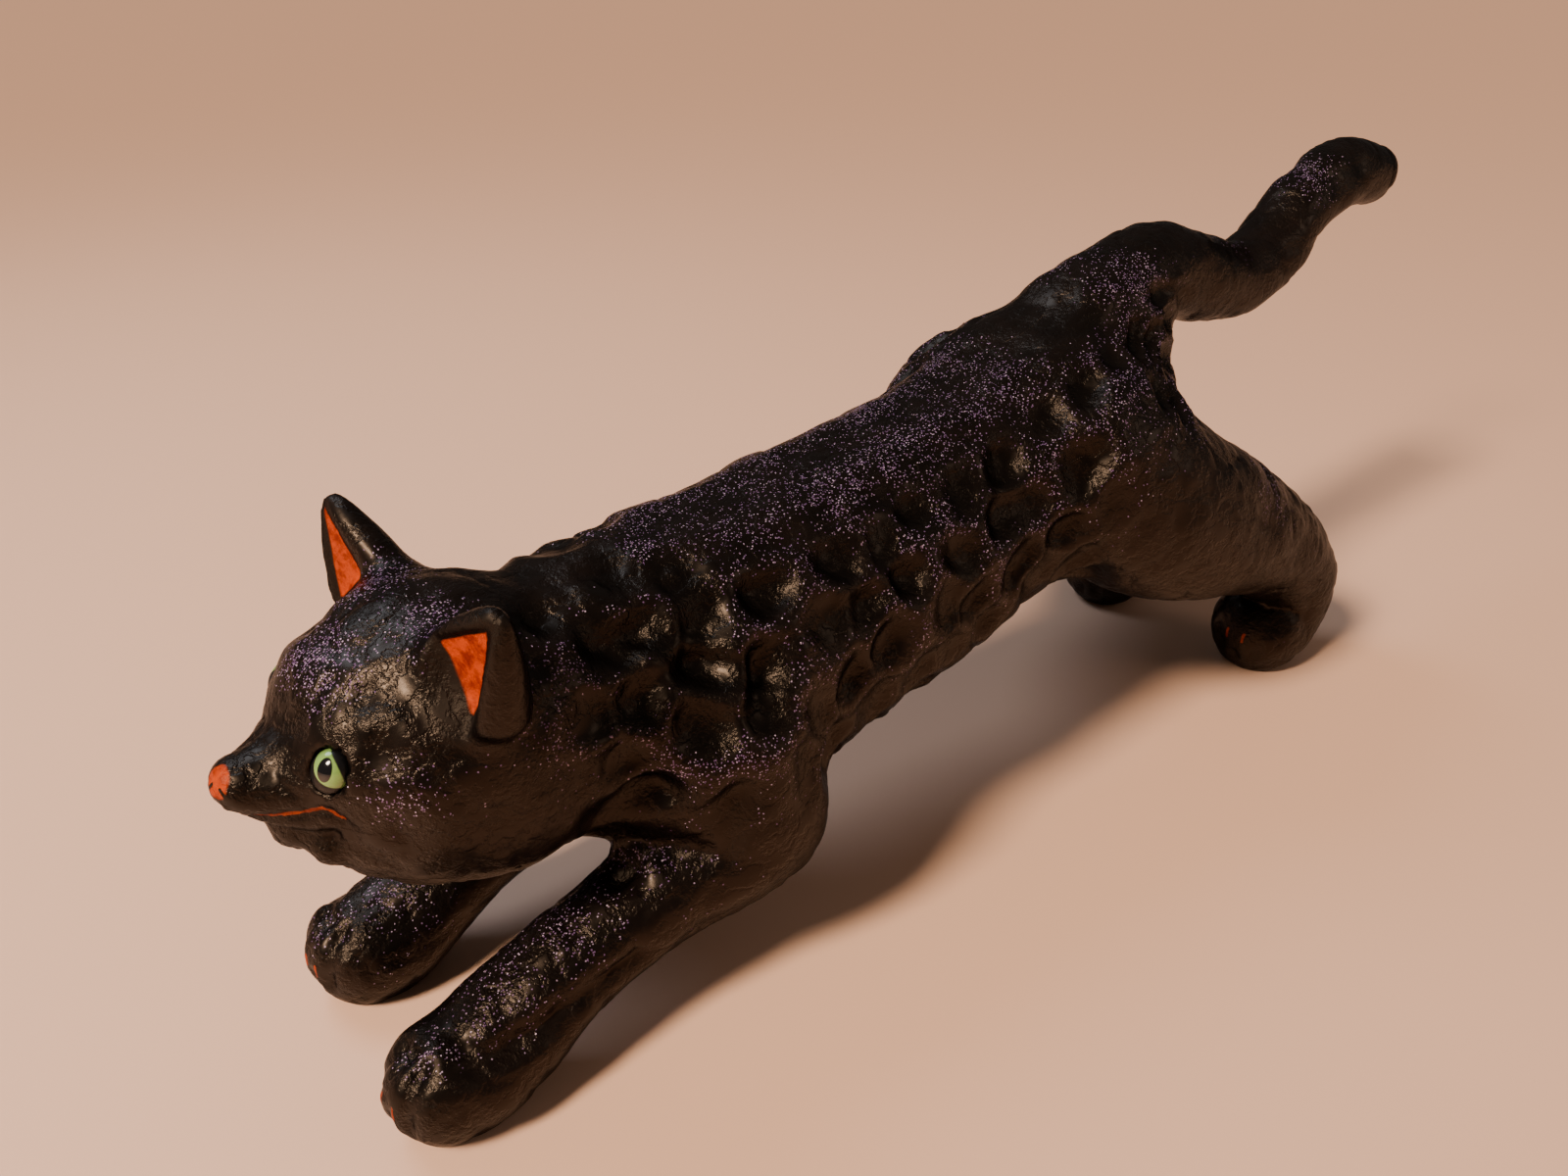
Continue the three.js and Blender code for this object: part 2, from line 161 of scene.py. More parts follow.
# Ears: splayed pods with a three-cornered hollow in front, of which the floor is painted.
EAR = {"width": 18, "depth": 12, "neck": 0.45, "full": 0.35, "taper": 0.7, "blunt": 0.1}
EAR_FACING = {-1: np.array([-0.93, 0.33, 0.1]), 1: np.array([-0.93, -0.2, 0.25])}
EAR_PLACE = {
    -1: (np.array([-3, 26.5, 21]), np.array([-1, 46.5, 54])),
    1: (np.array([1, 27, 19]), np.array([-2.5, 45.5, 50])),
}
EAR_PAINT = {
    -1: np.array([(-11, 17), (0, 34), (4.5, 8)]),
    1: np.array([(-1.5, 14), (1.5, 34), (11.5, 11)]),
}
EAR_FLOOR = 2
EAR_RIM = {"height": {-1: 6.5, 1: 3.2}, "from": -0.5, "to": 6}


def mirrored(vector, side):
    """A place or direction on the head's axes, for one side of the cat, turned with the head."""
    return head_axes @ (vector * np.array([1, side, 1]))


def ear_places(points, side):
    """Places on an ear's own axes: outwards from the cat's middle, towards the front, up the ear."""
    base, tip = EAR_PLACE[side]
    foot = HEAD_CENTRE + mirrored(base, side)
    axis = mirrored(tip - base, side)
    height = np.linalg.norm(axis)
    axis = axis / height
    facing = mirrored(EAR_FACING[side], side)
    facing = facing - facing @ axis * axis
    facing = facing / np.linalg.norm(facing)
    outward = side * np.cross(facing, axis)
    return (points - foot) @ np.stack([outward, facing, axis], axis=1), height


def triangle_distance(places, corners):
    """How far places lie outside a triangle: the greatest of their distances past its three sides."""
    middle = corners.mean(0)
    furthest = np.full(len(places), -np.inf)
    for start, end in zip(corners, np.roll(corners, -1, axis=0)):
        across = np.array([end[1] - start[1], start[0] - end[0]])
        across = across / np.linalg.norm(across)
        across = across * np.sign((start - middle) @ across)
        furthest = np.maximum(furthest, (places - start) @ across)
    return furthest


def ear(points, side):
    """An ear: a pod whose girth widens from its neck and tapers to a blunt tip, cut back in front to
    a floor that rises from the painted triangle to the rim."""
    places, height = ear_places(points, side)
    u = places[:, 2] / height
    inside = np.clip(u, 0, 1)
    girth = (1 - inside) ** EAR["taper"] + EAR["blunt"]
    girth = girth * (EAR["neck"] + (1 - EAR["neck"]) * smoothstep(0, EAR["full"], inside))
    round_it = np.hypot(places[:, 0] / EAR["width"], places[:, 1] / EAR["depth"])
    pod = np.maximum((round_it - girth) * EAR["depth"], np.abs(u - 0.5) * height - 0.5 * height)
    past_paint = triangle_distance(places[:, [0, 2]], EAR_PAINT[side])
    floor = EAR_FLOOR + EAR_RIM["height"][side] * smoothstep(EAR_RIM["from"], EAR_RIM["to"], past_paint)
    return -melt(-pod, floor - places[:, 1], MELT["ear_rim"])


# Eye sockets: ellipsoids cut a hairline wider than the eyes that sit in them.
EYE = {"sink": 1.8, "thick": 4, "width": 4.8, "height": 5.5, "lean": 0.5}
EYE_PLACE = {-1: np.array([-31, 18, 13]), 1: np.array([-25.5, 25.5, 12])}
SOCKET_GAP = 0.3


def eye_frame(side):
    """An eye's middle and axes: out of the face, across it, and up it, leaned about the way out."""
    place = (HEAD_CENTRE + mirrored(EYE_PLACE[side], side))[None]
    rise = slope(bare_body, place)
    place = place - bare_body(place)[:, None] * rise / (rise @ rise[0])[:, None]
    facing = slope(bare_body, place)[0]
    facing = facing / np.linalg.norm(facing)
    across = np.cross([0, 0, 1], facing)
    across = across / np.linalg.norm(across)
    upright = np.cross(facing, across)
    lean = side * EYE["lean"]
    axes = np.stack([
        facing,
        across * math.cos(lean) + upright * math.sin(lean),
        upright * math.cos(lean) - across * math.sin(lean),
    ], axis=1)
    return place[0] - EYE["sink"] * facing, axes


eye_frames = {side: eye_frame(side) for side in (-1, 1)}


def body_field(points):
    """The whole paper body: the bare body with the ears melted on, the sockets cut out, and nothing
    below the surface that the paws stand on."""
    distance = bare_body(points)
    for side in (-1, 1):
        distance = melt(distance, ear(points, side), MELT["ear"])
        middle, axes = eye_frames[side]
        size = np.array([EYE["thick"], EYE["width"], EYE["height"]]) + SOCKET_GAP
        socket = (np.linalg.norm((points - middle) @ axes / size, axis=1) - 1) * size.min()
        distance = np.maximum(distance, -socket)
    return np.maximum(distance, -points[:, 2])


# The net over the body: [x, cell size] stations, finest over the head and front paws.
CELLS = [(-262, 1.45), (-165, 1.45), (-130, 1.9), (272, 2.0)]
NET_REACH = {"side": 76, "below": -7, "above": 210}
COARSE = 4
SETTLE = {"least_slope": 0.3, "reach": 0.8}
TINY = 1e-6


def graded_grid():
    """Grid places whose cells keep about the shape of a cube while they grow along X."""
    slices = []
    x = CELLS[0][0]
    while x < CELLS[-1][0]:
        cell = np.interp(x, *np.array(CELLS).T)
        slices.append((x, cell))
        x += cell
    x, cell = np.array(slices).T
    side = math.ceil(NET_REACH["side"] / CELLS[0][1])
    low = math.floor(NET_REACH["below"] / CELLS[0][1])
    high = math.ceil(NET_REACH["above"] / CELLS[0][1])
    grid = np.empty((len(x), 2 * side + 1, high - low, 3))
    grid[..., 0] = x[:, None, None]
    grid[..., 1] = cell[:, None, None] * np.arange(-side, side + 1)[None, :, None]
    grid[..., 2] = cell[:, None, None] * np.arange(low, high)[None, None, :]
    return grid


def field_on(grid, field):
    """The field on the grid: worked out in full near the surface, and from a coarser grid elsewhere."""
    coarse = grid[::COARSE, ::COARSE, ::COARSE]
    rough = field(coarse.reshape(-1, 3)).reshape(coarse.shape[:3])
    for axis in range(3):
        rough = np.repeat(rough, COARSE, axis=axis)
    rough = rough[:grid.shape[0], :grid.shape[1], :grid.shape[2]]
    band = np.abs(rough) < 2 * COARSE * CELLS[-1][1]
    values = rough.copy()
    values[band] = field(grid[band])
    return values


def untangle(values):
    """Leaves outside the weaker corner of each grid face whose inside meets only across its diagonal,
    so that no edge of the net is shared by more than two faces."""
    tangled = True
    while tangled:
        tangled = False
        for u, v in ((0, 1), (1, 2), (2, 0)):
            face = []
            for s, t in ((0, 0), (1, 0), (1, 1), (0, 1)):
                cut = [slice(None)] * 3
                cut[u] = slice(s, values.shape[u] - 1 + s)
                cut[v] = slice(t, values.shape[v] - 1 + t)
                face.append(values[tuple(cut)])
            for a, b, c, d in ((0, 1, 2, 3), (1, 2, 3, 0)):
                crossed = (face[a] < 0) & (face[c] < 0) & (face[b] >= 0) & (face[d] >= 0)
                if crossed.any():
                    tangled = True
                    weaker = crossed & (face[a] > face[c])
                    other = crossed & ~weaker
                    face[a][weaker] = np.abs(face[a][weaker])
                    face[c][other] = np.abs(face[c][other])
    return values


def surface_net(grid, values):
    """One vertex in each grid cell that the surface passes through, at the mean of the cell's edge
    crossings, and one four-sided face for each grid edge that crosses the surface."""
    inside = values < 0
    size = np.array(values.shape)
    count = np.zeros(size - 1, int)
    for corner in itertools.product((0, 1), repeat=3):
        count += inside[tuple(slice(c, n - 1 + c) for c, n in zip(corner, size))]
    crossed = (count > 0) & (count < 8)
    cells = np.argwhere(crossed)
    total = np.zeros((len(cells), 3))
    crossings = np.zeros(len(cells))
    for axis in range(3):
        for s, t in itertools.product((0, 1), repeat=2):
            start = cells + np.roll([0, s, t], axis)
            end = start + np.roll([1, 0, 0], axis)
            a, b = values[tuple(start.T)], values[tuple(end.T)]
            cut = (a < 0) != (b < 0)
            share = (a[cut] / (a[cut] - b[cut]))[:, None]
            first, last = grid[tuple(start[cut].T)], grid[tuple(end[cut].T)]
            total[cut] += first + share * (last - first)
            crossings[cut] += 1
    number = np.full(size - 1, -1)
    number[crossed] = np.arange(len(cells))
    faces = []
    for axis in range(3):
        u, v = (axis + 1) % 3, (axis + 2) % 3
        before = [slice(1, -1)] * 3
        before[axis] = slice(0, -1)
        after = list(before)
        after[axis] = slice(1, None)
        here, there = inside[tuple(before)], inside[tuple(after)]
        for leaving in (True, False):
            edges = np.argwhere((here & ~there) if leaving else (~here & there))
            edges[:, [u, v]] += 1
            ring = []
            for s, t in ((1, 1), (0, 1), (0, 0), (1, 0)):
                cell = edges.copy()
                cell[:, u] -= s
                cell[:, v] -= t
                ring.append(number[tuple(cell.T)])
            faces.append(np.stack(ring if leaving else ring[::-1], axis=1))
    return total / crossings[:, None], np.vstack(faces)


grid = graded_grid()
skin, skin_faces = surface_net(grid, untangle(field_on(grid, body_field)))
outward = slope(body_field, skin)
steepness = np.linalg.norm(outward, axis=1, keepdims=True)
outward = outward / np.maximum(steepness, TINY)
move = body_field(skin)[:, None] / np.maximum(steepness, SETTLE["least_slope"])
skin = skin - np.clip(move, -SETTLE["reach"], SETTLE["reach"]) * outward

# Thumb hollows: staggered rows along the flanks, strayed a little, counted by the arc round the
# spine, and fading towards the back, the belly, both ends and the limbs that stand off the torso.
HOLLOW = {"pitch": 18, "row": 17, "radius": 7.5, "depth": 4.9, "stray": 0.5, "faintest": 0.6, "spread": 0.5}
HOLLOW_BLEND = 3
HOLLOW_WARP = {"size": 13, "reach": 2.6}
HOLLOW_SEED = {"step": 7.13, "row": 31.7, "next": 0.37}
ARC_RADIUS = 44
FLANK = {"top": 24, "full": 42, "low": 138, "bare": 168, "front": -150, "rear": 70, "fade": 40}
LIMB_FADE = {"from": 6, "to": 20}
SCATTER = (12.9898, 43758.5453)
LATTICE = np.array([1, 57.3, 113.7])
LATTICE_SHIFT = 100


def scatter(n):
    """A repeatable number from 0 to 1 for each number: the fraction of a large, fast sine."""
    value = np.sin(n * SCATTER[0]) * SCATTER[1]
    return value - np.floor(value)


def noise(points, size, seed):
    """Smooth noise from -1 to 1: a value at each corner of a lattice, blended by smoothstep between."""
    place = points / size + LATTICE_SHIFT
    cell = np.floor(place)
    share = place - cell
    share = smoothstep(0, 1, share)
    total = np.zeros(len(points))
    for corner in itertools.product((0, 1), repeat=3):
        weight = np.prod(np.where(corner, share, 1 - share), axis=1)
        total += weight * scatter((cell + corner) @ LATTICE + seed)
    return 2 * total - 1


def flank_hollows(points):
    """How far the flanks' hollows sink the surface, and the flanks' weight: the nine hollows
    about each point, each a dish exp(-(r / radius)^3), joined as the cube root of the sum of their
    cubes, on a pattern that a noise warps."""
    spine = np.array(TORSO)
    angle = np.arctan2(points[:, 1], points[:, 2] - np.interp(points[:, 0], spine[:, 0], spine[:, 2]))
    degrees = np.degrees(np.abs(angle))
    x = points[:, 0] + HOLLOW_WARP["reach"] * noise(points, HOLLOW_WARP["size"], 5)
    arc = angle * ARC_RADIUS + HOLLOW_WARP["reach"] * noise(points, HOLLOW_WARP["size"], 6)
    weight = smoothstep(FLANK["top"], FLANK["full"], degrees)
    weight *= smoothstep(FLANK["bare"], FLANK["low"], degrees)
    weight *= smoothstep(FLANK["front"] - FLANK["fade"], FLANK["front"], x)
    weight *= smoothstep(FLANK["rear"] + FLANK["fade"], FLANK["rear"], x)
    weight *= smoothstep(LIMB_FADE["to"], LIMB_FADE["from"], limb(points, TORSO))
    sunk = np.zeros(len(points))
    near_row = np.round(arc / HOLLOW["row"])
    for row in (near_row - 1, near_row, near_row + 1):
        shift = np.abs(row % 2) / 2
        near_step = np.round(x / HOLLOW["pitch"] - shift)
        for step in (near_step - 1, near_step, near_step + 1):
            seed = step * HOLLOW_SEED["step"] + row * HOLLOW_SEED["row"]
            u = x - HOLLOW["pitch"] * (step + shift + HOLLOW["stray"] * (scatter(seed) - 0.5))
            v = arc - HOLLOW["row"] * (row + HOLLOW["stray"] * (scatter(seed + HOLLOW_SEED["next"]) - 0.5))
            dish = np.exp(-(np.hypot(u, v) / HOLLOW["radius"]) ** 3)
            firmness = HOLLOW["faintest"] + HOLLOW["spread"] * scatter(seed + 2 * HOLLOW_SEED["next"])
            sunk += (firmness * dish) ** HOLLOW_BLEND
    return weight * HOLLOW["depth"] * sunk ** (1 / HOLLOW_BLEND), weight


# Larger presses of the thumb on the head, neck, shoulder, legs and tail: place, radius, depth. The
# swells are lumps of the same form, so their depths are below nought.
PRESSES = [
    (-204, -26, 122, 14, 2.2), (-214, -18, 122, 9, 1.6), (-216.5, -26, 112, 9, 1.4),
    (-208, -10, 129, 9, 1.0), (-214.5, -32, 93, 12, 1.3), (-198, -36, 88, 13, 1.4),
    (-169, -17, 125, 11, 3.6), (-145, -13, 128, 12, 3.2), (-131, -19, 126, 12, 3.8),
    (-158.5, -24, 120, 9, 3.6), (-152, -27.5, 116, 10, 3.8), (-137.5, -33.5, 110, 14, 4.2),
    (-121, -41, 99, 10, 3.0), (-153, -38.5, 77.5, 11, 2.6), (-161.5, -30, 49.5, 8, 2.0),
    (-140, -46, 60, 11, 1.8), (-190, -43.5, 27, 8, 1.5), (-202, -42, 27, 8, 1.6),
    (-213, -40, 26.5, 7, 1.4), (197, -12.5, 184, 11, 1.8), (210, -13, 187, 11, 1.8),
    (165, -13, 158, 10, 1.4), (110, -16, 160, 12, 1.6), (136.5, -50, 24, 8, 1.2),
    (90, -62, 85, 16, 1.8), (125, -57, 68, 13, 1.5),
]
PRESS_STRAY = 6
SWELLS = [
    (-131, -19, 126, 4.5, -1.8), (-231.5, -3, 82.5, 7, -2.4), (-227.5, -11, 81, 7, -2.6),
    (-213, -34, 99, 12, -1.2),
]


def presses(points):
    """The dishes of the larger presses, on both sides of the cat; the far ones have strayed along it."""
    sunk = np.zeros(len(points))
    for n, (x, y, z, radius, depth) in enumerate(PRESSES + SWELLS):
        for side, stray in ((1, 0), (-1, PRESS_STRAY * (scatter(n) - 0.5))):
            gap = np.linalg.norm(points - np.array([x + stray, side * y, z]), axis=1)
            sunk = sunk + depth * np.clip(1 - (gap / radius) ** 2, 0, 1) ** 2
    return sunk


# Grooves: the mouth, lip and forearm on both sides, and those between the toes: start, end, width, depth.
MOUTH_LINE = [(-239, -2.5, 91.8), (-235, -6.8, 92.8), (-231.5, -10.8, 93.8), (-228.1, -15.3, 95.6),
              (-226.8, -17.4, 94.8), (-225.6, -19.2, 93)]
MOUTH_GROOVE = {"width": 1.5, "depth": 1.3}
LIP = ((-236, -3, 87.2), (-226.5, -15.5, 87.2), 1.7, 1.4)
FOREARM = [
    ((-165, -43.5, 33.5), (-193, -43.2, 28.3), 3.2, 2.0),
    ((-193, -43.2, 28.3), (-207, -41.8, 26.4), 3.4, 2.2),
    ((-156, -30.4, 51.7), (-158.5, -36.5, 48.5), 1.6, 1.2),
    ((-207, -41.8, 26.4), (-213, -36, 29.2), 2.0, 1.3),
]
TOE_GAPS = (-8, 0, 8)
TOE_GROOVE = {"width": 2.2, "depth": 2.4, "reach": 17.5, "drop": 8, "top_reach": 8, "rise": 15, "gather": 0.7}
PAWS = [(-215, -29, 14), (-210, 29, 14), (147, -38, 16), (147, 38, 16)]


def segment_distance(points, start, end):
    """The distance to a straight line between two places."""
    start, end = np.array(start, dtype=float), np.array(end, dtype=float)
    t = np.clip((points - start) @ (end - start) / ((end - start) @ (end - start)), 0, 1)
    return np.linalg.norm(points - start - t[:, None] * (end - start), axis=1)


def grooves(points):
    """How far the mouth, lip, forearm and toe grooves sink the surface: each is a bell across its line."""
    sunk = np.zeros(len(points))
    lines = []
    width, depth = MOUTH_GROOVE["width"], MOUTH_GROOVE["depth"]
    mouth = [(start, end, width, depth) for start, end in zip(MOUTH_LINE, MOUTH_LINE[1:])]
    for start, end, width, depth in mouth + [LIP] + FOREARM:
        for side in (1, -1):
            flip = np.array([1, side, 1])
            lines.append((start * flip, end * flip, width, depth))
    for x, y, z in PAWS:
        for gap in TOE_GAPS:
            low = np.array([x - TOE_GROOVE["reach"], y + gap, z - TOE_GROOVE["drop"]])
            inward = y + TOE_GROOVE["gather"] * gap
            high = np.array([x - TOE_GROOVE["top_reach"], inward, z + TOE_GROOVE["rise"]])
            lines.append((low, high, TOE_GROOVE["width"], TOE_GROOVE["depth"]))
    for start, end, width, depth in lines:
        sunk = np.maximum(sunk, depth * np.exp(-(segment_distance(points, start, end) / width) ** 2))
    return sunk


# The flat band along the back between two crests, and the lumps and creases of the dried paper.
BACK_BAND = {"half": 12, "depth": 1.6, "front": -160, "rear": 35, "fade": 25, "above": 110}
LUMPS = [(24, 0.9), (11, 0.5), (5.5, 0.22)]
CREASE = {"size": 13, "depth": 0.55, "sharp": 0.16, "ripple": 0.3, "ripple_size": 13 / 3}


def paper_relief(points):
    """Lumps at three sizes, and creases where a broad noise passes through nought."""
    sunk = np.zeros(len(points))
    for n, (size, depth) in enumerate(LUMPS):
        sunk += depth * noise(points, size, 17 * n)
    fold = noise(points, CREASE["size"], 71) + CREASE["ripple"] * noise(points, CREASE["ripple_size"], 72)
    return sunk + CREASE["depth"] * np.exp(-(fold / CREASE["sharp"]) ** 2)


def back_band(points):
    """A shallow dish along the top of the back, 1 - (y / half)^2 deep, fading at both ends."""
    across = np.clip(1 - (points[:, 1] / BACK_BAND["half"]) ** 2, 0, 1)
    ends = smoothstep(BACK_BAND["front"] - BACK_BAND["fade"], BACK_BAND["front"], points[:, 0])
    ends *= smoothstep(BACK_BAND["rear"] + BACK_BAND["fade"], BACK_BAND["rear"], points[:, 0])
    return BACK_BAND["depth"] * across * ends * (points[:, 2] > BACK_BAND["above"])


# Round the paint, the eyes and the soles the paper was smoothed, so the relief fades there.
NO_PAINT = -9.0
EAR_FRONT = {"behind": -1, "foot": 3}
EAR_CALM = {"near": 2, "far": 8, "foot": 4, "share": 0.8}
EYE_CALM = {"near": 6, "far": 10}
SOLE_CALM = 4
ear_paint = np.full(len(skin), NO_PAINT)
ear_calm = np.ones(len(skin))
for side in (-1, 1):
    places, _ = ear_places(skin, side)
    past_paint = triangle_distance(places[:, [0, 2]], EAR_PAINT[side])
    front = (places[:, 1] > EAR_FRONT["behind"]) & (places[:, 1] < EAR["depth"])
    front &= places[:, 2] > EAR_FRONT["foot"]
    ear_paint = np.where(front, np.maximum(ear_paint, -past_paint), ear_paint)
    on_ear = smoothstep(EAR_CALM["far"], EAR_CALM["near"], np.abs(ear(skin, side)))
    ear_calm *= 1 - EAR_CALM["share"] * on_ear * (places[:, 2] > EAR_CALM["foot"])
eye_calm = np.ones(len(skin))
for middle, _ in eye_frames.values():
    eye_calm *= smoothstep(EYE_CALM["near"], EYE_CALM["far"], np.linalg.norm(skin - middle, axis=1))

hollows, flank = flank_hollows(skin)
pressed = hollows + presses(skin) * eye_calm
relief = pressed + grooves(skin) + (back_band(skin) + paper_relief(skin)) * eye_calm * ear_calm
sole_calm = smoothstep(0, SOLE_CALM, skin[:, 2])

# Glitter: dusted from above on the ridges of the flanks, in patches elsewhere, and most of all on
# these places of the head, neck and legs: place, radius, amount.
DUSTED = [
    (-219, -6, 126, 15, 1.0), (-196, -16, 132, 17, 0.8), (-216, -31, 101, 14, 0.9),
    (-176, -38, 104, 14, 0.8), (-175, -30, 44, 22, 0.4), (-200, -30, 34, 20, 0.45),
    (-218, -30, 28, 12, 0.5), (100, -55, 95, 22, 0.5), (-128, -12, 129, 18, 0.6),
    (-110, -13, 130, 19, 0.7), (-91, -12, 130, 18, 0.6), (-73, -14, 132, 20, 0.7),
    (-54, -13, 135, 18, 0.6), (-36, -13, 138, 20, 0.7), (-17, -14, 142, 18, 0.6),
    (2, -14, 146, 20, 0.6), (60, -14, 166, 22, 0.7), (190, -4, 184, 16, 0.6),
]
DUST = {"ridge": 0.45, "ridge_patch": 0.5, "elsewhere": 0.16, "core": 0.2, "bare": 2.2, "full": 0.8}
DUST_FALL = {"under": -0.5, "over": 0.6}
DUST_MOTTLE = {"mean": 0.55, "swing": 0.45, "size": 9}
PATCH = {"size": 34, "finer": 12, "share": 0.5, "from": 0.05, "to": 0.75}
patch = noise(skin, PATCH["size"], 31) + PATCH["share"] * noise(skin, PATCH["finer"], 32)
patch = smoothstep(PATCH["from"], PATCH["to"], patch)
dust = np.maximum((DUST["ridge"] + DUST["ridge_patch"] * patch) * flank, DUST["elsewhere"] * patch)
for x, y, z, radius, amount in DUSTED:
    for side in (1, -1):
        gap = np.linalg.norm(skin - np.array([x, side * y, z]), axis=1)
        dust = np.maximum(dust, amount * smoothstep(radius, DUST["core"] * radius, gap))
dust *= smoothstep(DUST["bare"], DUST["full"], pressed)
dust *= smoothstep(DUST_FALL["under"], DUST_FALL["over"], outward[:, 2])
dust *= DUST_MOTTLE["mean"] + DUST_MOTTLE["swing"] * noise(skin, DUST_MOTTLE["size"], 33)
skin = skin - (relief * sole_calm)[:, None] * outward
skin[:, 2] = np.maximum(skin[:, 2], 0)


def seated(place):
    """A place moved onto the finished skin, along the way out of the skin's nearest vertex."""
    nearest = np.argmin(np.linalg.norm(skin - place, axis=1))
    return place - (place - skin[nearest]) @ outward[nearest] * outward[nearest]


body_mesh = bpy.data.meshes.new("paper_body")
body_mesh.from_pydata((skin + FRAME_SHIFT) * TO_METRES, [], skin_faces)
body_mesh.polygons.foreach_set("use_smooth", np.ones(len(skin_faces), bool))
for name, values in (("pressed", pressed), ("dust", dust), ("ear_paint", ear_paint)):
    attribute = body_mesh.attributes.new(name, "FLOAT", "POINT")
    attribute.data.foreach_set("value", values.astype(np.float32))
body_mesh.update()
paper_body = bpy.data.objects.new("paper_body", body_mesh)
bpy.context.scene.collection.objects.link(paper_body)

# The body's paint: warm satin black with a bronze sheen, with painted shade darkening the hollows,
# lilac glitter dusted over the raised parts, and orange in the ears and on the nose, mouth and claws.
BLACK = (0.0026, 0.0019, 0.0018, 1)
BROWN_BLACK = (0.0055, 0.0034, 0.0030, 1)
# Painted shade: the near-black that stands in for the shade in the floors of the hollows.
HOLLOW_PAINTED_SHADE = (0.0016, 0.0011, 0.0010, 1)
LILAC = (0.13, 0.07, 0.17, 1)
PALE_LILAC = (0.46, 0.36, 0.50, 1)
ORANGE = (0.44, 0.045, 0.001, 1)
DEEP_ORANGE = (0.17, 0.011, 0.001, 1)
SHEEN = (1.0, 0.77, 0.60, 1)
PAINT_PATCHES = {"scale": 55, "detail": 4, "roughness": 0.6}
PAINT_STREAKS = {"scale": 220, "detail": 6, "roughness": 0.65}
FINE_CREASES = {"scale": 130, "detail": 5, "roughness": 0.6}
GLITTER = {"scale": 2100, "share": 0.62, "size": 0.5, "dark": 3.0}
WOBBLE = {"scale": 320, "reach": 0.0009}
GLOSS = {"least": 0.22, "streaks": 0.2, "by_paint": 0.2, "orange": 0.12}
SPECULAR = {"facing": 0.24, "edge_on": -0.2}
STRIP_LAY = {"Rotation": (0.4, 0.5, 0.6), "Scale": (1, 2.6, 1.5)}
HEIGHT = {"creases": 0.45, "strips": 0.25, "streaks": 0.25, "glitter": 0.25}
BUMP = {"Strength": 0.55, "Distance": 0.0007}
STRIP_SCALE = 38
SOFT_EDGE = 1.25
EAR_UNEVEN = 2.0

# The ranges over which one look of the paint gives way to the next.
BROWN_RANGE = (0.35, 0.7)
# The pressed depth over which the painted shade of the hollows deepens.
PAINTED_SHADE_RANGE = (1.4, 3.4)
BY_PAINT_RANGE = (-5.0, -2.5)
EAR_RANGE = (-0.35, 0.35)
DEEP_RANGE = (0.4, 0.65)
CREASE_RANGE = (0.0, 0.09)
EDGE_ON_RANGE = (0.3, 0.75)


def add_node(tree, kind, values=None, **settings):
    """A node with its settings, and its sockets, by name or number, given values or linked."""
    node = tree.nodes.new(kind)
    for name, value in settings.items():
        setattr(node, name, value)
    for socket, value in (values or {}).items():
        if isinstance(value, bpy.types.NodeSocket):
            tree.links.new(value, node.inputs[socket])
        else:
            node.inputs[socket].default_value = value
    return node


def maths(tree, operation, *values, clamp=False):
    """The result of a Math node."""
    node = add_node(tree, "ShaderNodeMath", dict(enumerate(values)), operation=operation, use_clamp=clamp)
    return node.outputs[0]


def vector_maths(tree, operation, *values, result="Vector"):
    """The result of a Vector Math node."""
    node = add_node(tree, "ShaderNodeVectorMath", dict(enumerate(values)), operation=operation)
    return node.outputs[result]


def mixed(tree, factor, first, second):
    """A colour between two colours."""
    return add_node(tree, "ShaderNodeMix", {0: factor, 6: first, 7: second}, data_type="RGBA").outputs[2]


def ramp(tree, value, low, high):
    """0 below the low value, 1 above the high one, and a smooth step between."""
    sockets = {"Value": value, "From Min": low, "From Max": high}
    return add_node(tree, "ShaderNodeMapRange", sockets, interpolation_type="SMOOTHSTEP").outputs[0]


def noise_node(tree, vector, scale, detail, roughness):
    """A noise texture's value."""
    sockets = {"Vector": vector, "Scale": scale, "Detail": detail, "Roughness": roughness}
    return add_node(tree, "ShaderNodeTexNoise", sockets).outputs[0]


def new_material(name):
    """A node material, with its tree and its shader."""
    material = bpy.data.materials.new(name)
    material.use_nodes = True
    tree = material.node_tree
    return material, tree, tree.nodes["Principled BSDF"]


stroke = bpy.data.node_groups.new("brush_stroke", "ShaderNodeTree")
for name, kind in (("Vector", "NodeSocketVector"), ("Start", "NodeSocketVector"),
                   ("End", "NodeSocketVector"), ("Half Width", "NodeSocketFloat")):
    stroke.interface.new_socket(name, in_out="INPUT", socket_type=kind)
stroke.interface.new_socket("Mask", in_out="OUTPUT", socket_type="NodeSocketFloat")
given = stroke.nodes.new("NodeGroupInput").outputs
span = vector_maths(stroke, "SUBTRACT", given["End"], given["Start"])
offset = vector_maths(stroke, "SUBTRACT", given["Vector"], given["Start"])
along = maths(
    stroke, "DIVIDE", vector_maths(stroke, "DOT_PRODUCT", offset, span, result="Value"),
    vector_maths(stroke, "DOT_PRODUCT", span, span, result="Value"), clamp=True)
nearest = add_node(stroke, "ShaderNodeVectorMath", {0: span, "Scale": along}, operation="SCALE").outputs[0]
gap = vector_maths(stroke, "DISTANCE", offset, nearest, result="Value")
soft = maths(stroke, "MULTIPLY", given["Half Width"], SOFT_EDGE)
stroke_mask = ramp(stroke, gap, soft, given["Half Width"])
add_node(stroke, "NodeGroupOutput", {"Mask": stroke_mask})


